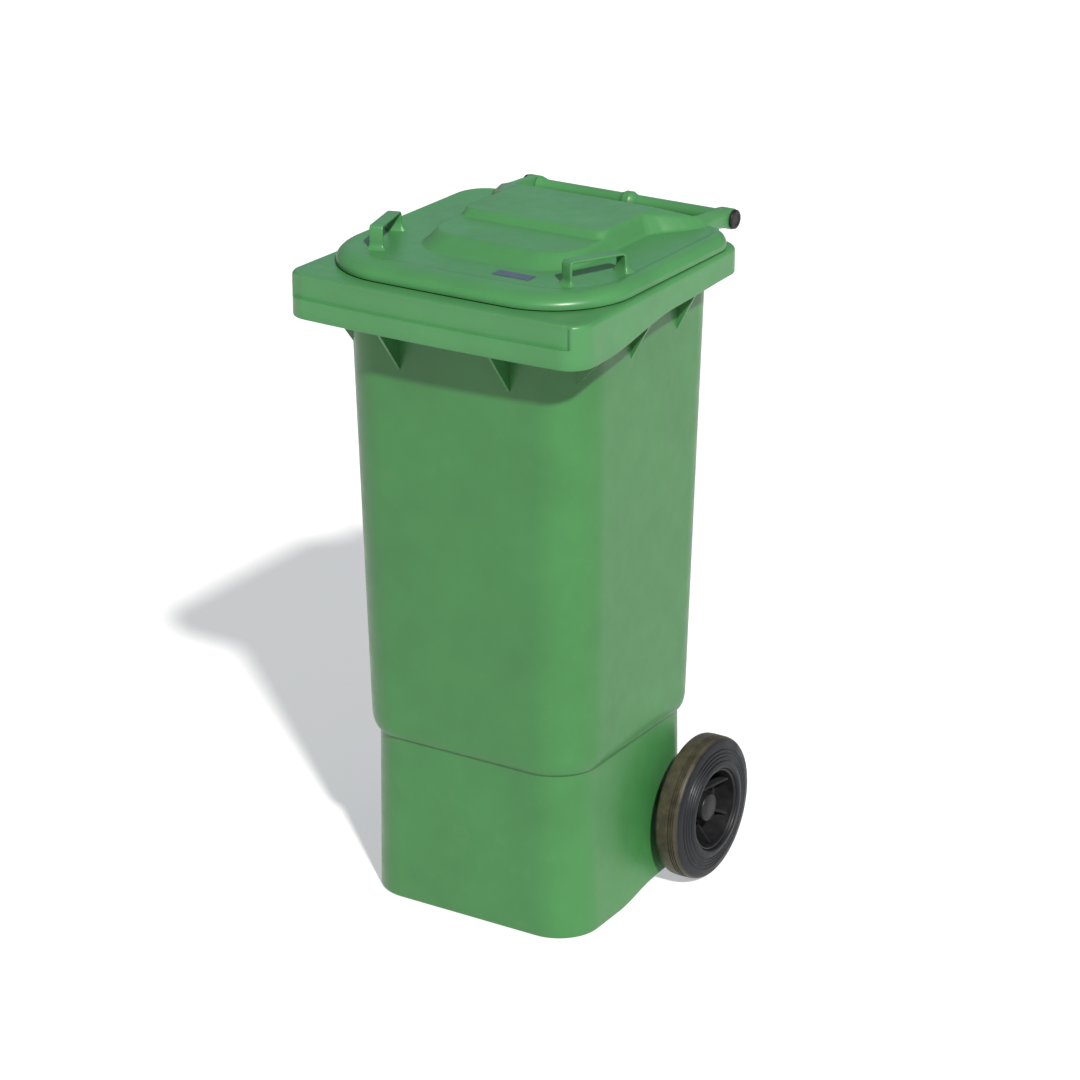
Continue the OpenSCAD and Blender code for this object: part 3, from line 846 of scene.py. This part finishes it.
def lid_top(x, y):
    """The height of the lid's top surface inside the crest of its rolled edge."""
    border = lerp(LID_CREST_Z, PANEL_Z, smooth(0, 7, crest_margin(x, y)))
    low = slope(x, y, LOW_FOOT, LOW_TOP)
    high = slope(x, y, HIGH_FOOT, HIGH_TOP)
    top = max(lerp(border, LOW_Z, low), lerp(PANEL_Z, HIGH_Z, high) if high and low >= 1 else 0)
    if low >= 1 and high:
        top = lerp(LOW_Z, HIGH_Z, high)
    if y > 300:
        top = max(top, wing_top(x, y))
    return top


def lid_edge(side, front, rear):
    """The lid's plan outline, drawn in by a distance on each side."""
    return outline(
        LID["front_w"] - 2 * side, LID["rear_w"] - 2 * side,
        LID["front"] + front, LID["rear"] - rear,
        LID["front_r"] - (side + front) / 2, LID["rear_r"] - (side + rear) / 2, LID["bow"])


def lid_ring(side, front, rear, z):
    return [place(x, y, z) for x, y in lid_edge(side, front, rear)]


def lid_rings():
    """The lid's edge: up the inside of the roll, round the lip and up the outside."""
    steps = 12
    lean_z = LID_LOW_Z + 4
    angles = [math.radians(90 * k / steps) for k in range(steps + 1)]
    roll = [(1 - math.cos(a), math.sin(a)) for a in angles]
    inner = [(ROLL_SIDE * u + LID_T, ROLL_FRONT * u + LID_T, ROLL_REAR * u + LID_T,
              lerp(lean_z, PANEL_Z - LID_T, v)) for u, v in reversed(roll)]
    outer = [(ROLL_SIDE * u, ROLL_FRONT * u, ROLL_REAR * u, lerp(lean_z, LID_CREST_Z, v))
             for u, v in roll]
    lip = [(d, d, d, LID_LOW_Z + h)
           for d, h in ((LID_T, 0.7), (LID_T - 0.7, 0), (0.9, 0), (0.2, 0.4), (0, 1.2))]
    return [lid_ring(*r) for r in inner + lip + outer]


def make_lid(green):
    rings = lid_rings()
    top = grid_sheet(lid_edge(ROLL_SIDE, ROLL_FRONT, ROLL_REAR), 2.0, crest_margin, lid_top)
    under_border = lid_edge(ROLL_SIDE + LID_T, ROLL_FRONT + LID_T, ROLL_REAR + LID_T)
    under = grid_sheet(under_border, 4.0, lambda x, y: crest_margin(x, y) - LID_T,
                       lambda x, y: lid_top(x, y) - LID_T)
    lid = loft("lid_shell", rings, under, top)
    finish_piece(lid, "lid", "lid", green, 45)
    for side, name in ((1, "right"), (-1, "left")):
        arm = make_lid_arm(side)
        arm.name = "lid_arm_" + name
        finish_piece(arm, "lid", "lid", green, 40)
        grip = make_grip(side)
        grip.name = "lid_grip_" + name
        finish_piece(grip, "lid", "lid", green, 50)
        for x, depth in BUFFERS:
            seat = round_post("lid_seat", side * x, depth, BUFFER_SEAT_R, BUFFER_TOP_Z,
                              PANEL_Z - LID_T + 1.5)
            finish_piece(rounded(seat, 0.8, 2), "lid", "lid", green)


def make_lid_arm(side):
    """The arm from a wing to its hinge lug: a ridge, with a face that falls to the outside."""
    inner_x, outer_x = LUG_IN_X + SIDE_GAP, LUG_OUT_X - SIDE_GAP
    # depth, then inner edge, ridge and outer edge in X, then their heights, then the underside
    stations = [
        (386, 137, 142, 149, 914, 916, 907, 902),
        (393, 138, 143, 155, 917, 918.8, 907.5, 900),
        (399, 139, 145, 158.5, 917.8, 919.6, 908.6, 897),
        (404, 139.5, 147, 160, 917.4, 919.5, 909.6, 895),
        (412, 141, 148, 160.5, 916.4, 918, 910, 893.5),
        (426, inner_x, 149, 160, 915, 916, 909.6, 893),
        (444, inner_x, 149.5, outer_x, 914, 914.9, 909, 893),
        (460, inner_x, 150, outer_x, 912.8, 914, 908.6, 890.5),
        (474, inner_x, 150, outer_x, 911.8, 912.6, 908.4, 887),
        (484, inner_x, 151, outer_x, 910.3, 911, 908.2, 886),
        (489, inner_x, 151, outer_x, 908.2, 908.8, 906.5, 886),
    ]
    rings = []
    for depth, xi, xr, xo, zi, zr, zo, low in stations:
        section = [
            (xi + 1, low), (xi, low + 1), (xi, zi - 1), (xi + 0.5, zi - 0.1),
            (xi + 1.4, zi + 0.2), (xr - 1.2, zr - 0.1), (xr, zr), (xr + 1.2, zr - 0.4),
            (xo - 2, zo + 0.7), (xo - 0.6, zo - 0.4), (xo, zo - 1.8), (xo, low + 1), (xo - 1, low)]
        rings.append([place(side * x, depth, z) for x, z in section])
    arm = loft("arm", rings)
    a, b = sorted((side * inner_x, side * outer_x))
    lug = lathe("lug", [
        (LUG_BORE_R, a), (LUG_R - 1, a), (LUG_R - 0.3, a + 0.3), (LUG_R, a + 1), (LUG_R, b - 1),
        (LUG_R - 0.3, b - 0.3), (LUG_R - 1, b), (LUG_BORE_R, b)], (0, HINGE_Y, HINGE_Z), 72)
    bore = lathe("bore", [
        (0.0, a - 2), (LUG_BORE_R, a - 2), (LUG_BORE_R, b + 2), (0.0, b + 2)],
        (0, HINGE_Y, HINGE_Z), 72)
    combine(arm, bore, "DIFFERENCE")
    return combine(arm, lug, "UNION")


def turn(points, radius, steps=6):
    """Rounds the inner corners of a path with quadratic curves."""
    out = [points[0]]
    for before, at, after in zip(points, points[1:], points[2:]):
        a = at + (before - at).normalized() * min(radius, (before - at).length * 0.48)
        b = at + (after - at).normalized() * min(radius, (after - at).length * 0.48)
        for k in range(steps + 1):
            t = k / steps
            out.append(a * (1 - t) ** 2 + at * 2 * t * (1 - t) + b * t ** 2)
    out.append(points[-1])
    return out


def grip_section(back, point, ahead, foot, length):
    """Points round the strap, as distances along and across it and heights."""
    tangent = (ahead - back).normalized()
    normal = Vector((-tangent.y, tangent.x))
    rear = point.x > length / 2
    flare = max(0.0, 1 - (point.y - foot) / (15 if rear else 10)) ** 2
    half_w = GRIP_W / 2 + flare * (9 if rear else 6)
    thick = GRIP_HALF_T + flare * (9 if rear else 6)
    section = []
    for j in range(24):
        a = math.radians(15 * j)
        c, d = math.cos(a), math.sin(a)
        w = half_w * math.copysign(abs(c) ** 0.35, c)
        n = thick * math.copysign(abs(d) ** 0.45, d)
        section.append((point.x + normal.x * n, w, point.y + normal.y * n))
    return section


def make_grip(side):
    """A strap with rounded shoulders on two posts that flare into the lid."""
    dx, dy = GRIP_REAR[0] - GRIP_FRONT[0], GRIP_REAR[1] - GRIP_FRONT[1]
    length = math.hypot(dx, dy)
    along = (dx / length, dy / length)
    foot = PANEL_Z - 2
    top_front, top_rear = GRIP_Z - GRIP_HALF_T, GRIP_Z - GRIP_FALL - GRIP_HALF_T
    path = turn([Vector(p) for p in (
        (0.5, foot), (1.0, foot + 3), (1.2, foot + 8), (1.2, top_front),
        (length * 0.5, (top_front + top_rear) / 2), (length - 1.5, top_rear),
        (length - 0.5, foot + 12), (length + 1, foot + 4), (length + 2, foot))], 5)
    rings = []
    for k, point in enumerate(path):
        back, ahead = path[max(0, k - 1)], path[min(len(path) - 1, k + 1)]
        rings.append([
            place(side * (GRIP_FRONT[0] + along[0] * u + along[1] * w),
                  GRIP_FRONT[1] + along[1] * u - along[0] * w, z)
            for u, w, z in grip_section(back, point, ahead, foot, length)])
    return loft("grip", rings)


# ---------- wheels and pins ----------


def arc(cx, cy, r, a0, a1, steps):
    angles = [math.radians(lerp(a0, a1, i / steps)) for i in range(steps + 1)]
    return [(cx + r * math.cos(a), cy + r * math.sin(a)) for a in angles]


def make_tyre(rubber):
    """The tyre: a tread, and an outer face that swells out towards the dish."""
    low, high, bore = WHEEL_IN_X, WHEEL_OUT_X, TYRE_BORE_R
    profile = [(bore, low + 1), (bore + 1, low + 0.2), (bore + 4, low)]
    profile += arc(TYRE_R - SHOULDER_R - 0.5, low + SHOULDER_R, SHOULDER_R, -90, 0, 7)
    profile += [(TYRE_R - 0.1, low + 8), (TYRE_R, low + 11)]
    for x in (low + across for across in GROOVES):
        profile += [(TYRE_R - 0.2, x - 0.9), (TYRE_R - 2.0, x - 0.5), (TYRE_R - 2.0, x + 0.5),
                    (TYRE_R - 0.5, x + 0.9)]
    profile += [(TYRE_R - 1, high - 11), (TYRE_R - 1.8, high - 9.4), (TYRE_R - 3, high - 8),
                (TYRE_R - 5, high - 7.1), (TYRE_R - 8, high - 6.3), (TYRE_R - 12, high - 5.5)]
    for r, back in FACE_RINGS:
        profile += [(r + 1.7, high - back - 0.6), (r + 0.8, high - back - 1.2),
                    (r - 0.6, high - back - 0.9), (r - 1.5, high - back + 0.4)]
    profile += [(64.5, high - 0.3), (62, high), (60, high - 0.1), (58.6, high - 0.9),
                (57.6, high - 2.2), (bore, high - 4)]
    tyre = lathe("tyre_right_rubber", profile, (0, AXLE_Y, AXLE_Z), 180)
    both_sides(tyre, "tyre", rubber, 28)


def both_sides(obj, node, finish, sharp=32, body="wheel_"):
    """Finishes a right-hand piece and its mirrored copy on the left."""
    other = mirrored(obj, obj.name.replace("right", "left"))
    for piece, side in ((obj, "right"), (other, "left")):
        rides = body + side if body == "wheel_" else body
        finish_piece(piece, rides, node + "_" + side, finish, sharp)


def make_wheel_rim(plastic):
    """The wheel's hub, web and dish, with ribs from the hub to the rim."""
    bore, low, high = TYRE_BORE_R, WHEEL_IN_X, WHEEL_OUT_X
    profile = [
        (HUB_R - 2, HUB_IN_X), (HUB_R, HUB_IN_X + 2), (HUB_R, low + 1.6), (HUB_R + 1.5, low + 2.5),
        (bore - 12, low + 2.2), (bore - 6, low + 2), (bore - 1.5, low + 2), (bore, low + 3),
        (bore, high - 4.5), (bore - 0.8, high - 3.6), (bore - 2.2, high - 3.8),
        (bore - 3.4, high - 5.2), (bore - 5, low + 14), (bore - 6.5, low + 8), (bore - 9, low + 6.3),
        (HUB_R + 3, low + 6.3), (HUB_R, low + 6.8), (HUB_R, HUB_OUT_X - 6),
        (HUB_R - 2, HUB_OUT_X - 4), (BUSH_R, HUB_OUT_X - 4), (BUSH_R, HUB_IN_X)]
    rim = lathe("wheel_rim_right_dish", profile, (0, AXLE_Y, AXLE_Z), 120)
    for k in range(WHEEL_RIBS):
        rib = prism("rib", [
            (HUB_R - 1, low + 4), (bore - 5, low + 4), (bore - 4.5, high - 10), (bore - 9, high - 14),
            (HUB_R + 12, low + 13), (HUB_R + 3.5, low + 7.5), (HUB_R - 1, low + 6.5)],
            -RIB_HALF_T, RIB_HALF_T, rib_place(math.radians(90 + 360 / WHEEL_RIBS * k)))
        combine(rim, rounded(rib, 0.7, 2), "UNION")
    tidy(rim, 0.01)
    both_sides(rim, "wheel_rim", plastic, 30)


def rib_place(angle):
    """Maps a rib's offset, radius and X to a place, at an angle round the axle."""
    c, d = math.cos(angle), math.sin(angle)
    return lambda w, r, x: place(x, AXLE_Y + c * r - d * w, AXLE_Z + d * r + c * w)


def make_hub_cap(plastic):
    """The domed cap over the end of the hub."""
    x = HUB_OUT_X
    profile = [(HUB_R, x - 12), (HUB_R + 1.6, x - 12), (HUB_R + 2, x - 11.5), (HUB_R + 2, x + 0.8)]
    profile += arc(HUB_R - 1, x + 0.8, 3, 0, 90, 5)[1:]
    profile += [(HUB_R - 3, x + 4.6), (HUB_R - 6, x + 5.4), (8, x + 5.9), (0.0, x + 6),
                (0.0, x + 3.5), (HUB_R - 2, x + 2.5), (HUB_R - 1.5, x - 3.8), (HUB_R, x - 6)]
    cap = lathe("hub_cap_right_dome", profile, (0, AXLE_Y, AXLE_Z), 72)
    both_sides(cap, "hub_cap", plastic, 35)


def make_pin(plastic):
    """A hinge pin with a low round head."""
    head = LUG_OUT_X
    profile = [(0.0, PIN_IN_X), (PIN_R - 0.6, PIN_IN_X), (PIN_R, PIN_IN_X + 0.6), (PIN_R, head),
               (PIN_HEAD_R - 0.5, head), (PIN_HEAD_R, head + 0.5), (PIN_HEAD_R, head + 2.6)]
    profile += arc(PIN_HEAD_R - 2.2, head + 2.6, 2.2, 0, 90, 5)[1:]
    profile += [(PIN_HEAD_R - 4.5, PIN_OUT_X - 0.1), (PIN_HEAD_R - 5.5, PIN_OUT_X - 1),
                (0.0, PIN_OUT_X - 1)]
    pin = lathe("hinge_pin_right_head", profile, (0, HINGE_Y, HINGE_Z), 64)
    both_sides(pin, "hinge_pin", plastic, 30, "bin")


# ---------- the scene ----------


FLOOR_HALF = 12.0
FLOOR_GLOW = 0.42
WORLD_STRENGTH = 0.27
KEY_AWAY = 6
CAMERA_AT = (2.4865, -3.6940 + FRONT, 2.2968)
CAMERA_DOWN_DEG, CAMERA_TURN_DEG = 21.22, 32.15


def make_floor():
    """A pale, slightly glowing floor under the bin."""
    z = cad_low.z
    corners = [(x * FLOOR_HALF, y * FLOOR_HALF, z) for x, y in ((-1, -1), (1, -1), (1, 1), (-1, 1))]
    floor = new_object("floor", corners, [(0, 1, 2, 3)])
    mat, nodes, links, shader = material("floor")
    speckle = noise(nodes, links, 3, 3, 0.5)
    tone = ramp(nodes, links, speckle, [(0.3, 0.60), (0.7, 0.62)])
    links.new(tone, shader.inputs["Base Color"])
    shader.inputs["Roughness"].default_value = 0.9
    shader.inputs["Emission Color"].default_value = (0.98, 0.99, 1.0, 1)
    shader.inputs["Emission Strength"].default_value = FLOOR_GLOW
    floor.data.materials.append(mat)


def make_world():
    world = bpy.data.worlds.new("studio")
    bpy.context.scene.world = world
    world.use_nodes = True
    background = world.node_tree.nodes["Background"]
    background.inputs["Color"].default_value = (0.95, 0.97, 1.0, 1)
    background.inputs["Strength"].default_value = WORLD_STRENGTH


def aim(lamp, place_at, target):
    lamp.location = place_at
    lamp.rotation_euler = (Vector(target) - Vector(place_at)).to_track_quat("-Z", "Y").to_euler()


def add_area(name, place_at, target, size, power, colour):
    data = bpy.data.lights.new(name, "AREA")
    data.size = size
    data.energy = power
    data.color = colour
    lamp = bpy.data.objects.new(name, data)
    bpy.context.scene.collection.objects.link(lamp)
    aim(lamp, place_at, target)


def add_key(turn_deg, height_deg, strength, width_deg, colour):
    """A key light like the sun, from a direction turned from the front towards the right."""
    data = bpy.data.lights.new("key", "SUN")
    data.energy = strength
    data.angle = math.radians(width_deg)
    data.color = colour
    lamp = bpy.data.objects.new("key", data)
    bpy.context.scene.collection.objects.link(lamp)
    a, h = math.radians(turn_deg), math.radians(height_deg)
    towards = Vector((math.sin(a) * math.cos(h), -math.cos(a) * math.cos(h), math.sin(h)))
    aim(lamp, KEY_AWAY * towards, (0, 0, 0))


def make_camera():
    data = bpy.data.cameras.new("camera")
    data.lens = 125.08
    data.sensor_width = 36.0
    camera = bpy.data.objects.new("camera", data)
    bpy.context.scene.collection.objects.link(camera)
    camera.location = CAMERA_AT
    camera.rotation_euler = (math.radians(90 - CAMERA_DOWN_DEG), 0.0, math.radians(CAMERA_TURN_DEG))
    bpy.context.scene.camera = camera


make_camera()
make_floor()
make_world()
add_key(48, 40, 4.9, 3, (1.0, 0.98, 0.94))
add_area("sky", (-2.0, 3.2, 2.3), (0, 0, 0.9), 2.4, 5, (0.35, 0.80, 1.0))

green = moulded_green()
black = black_plastic("black_plastic", 0.008, 0.4)
grey = black_plastic("dark_grey_plastic", 0.009, 0.42)
rubber = tyre_rubber()
metal = steel()
make_body(green)
make_lid(green)
make_tyre(rubber)
make_wheel_rim(black)
make_hub_cap(black)
make_pin(grey)
finishes = {"green_plastic": green, "tyre_rubber": rubber, "black_plastic": black,
            "buffer_rubber": rubber, "steel": metal, "nylon": metal, "label": label_face(),
            "chip_resin": black}
slots = {s["node"]: s["material_slot"] for s in frame["record"]["subparts"]}
for name, node in frame["nodes"].items():
    node.data.materials.clear()
    node.data.materials.append(finishes[slots[name]])

bpy.context.scene.view_settings.view_transform = "Standard"
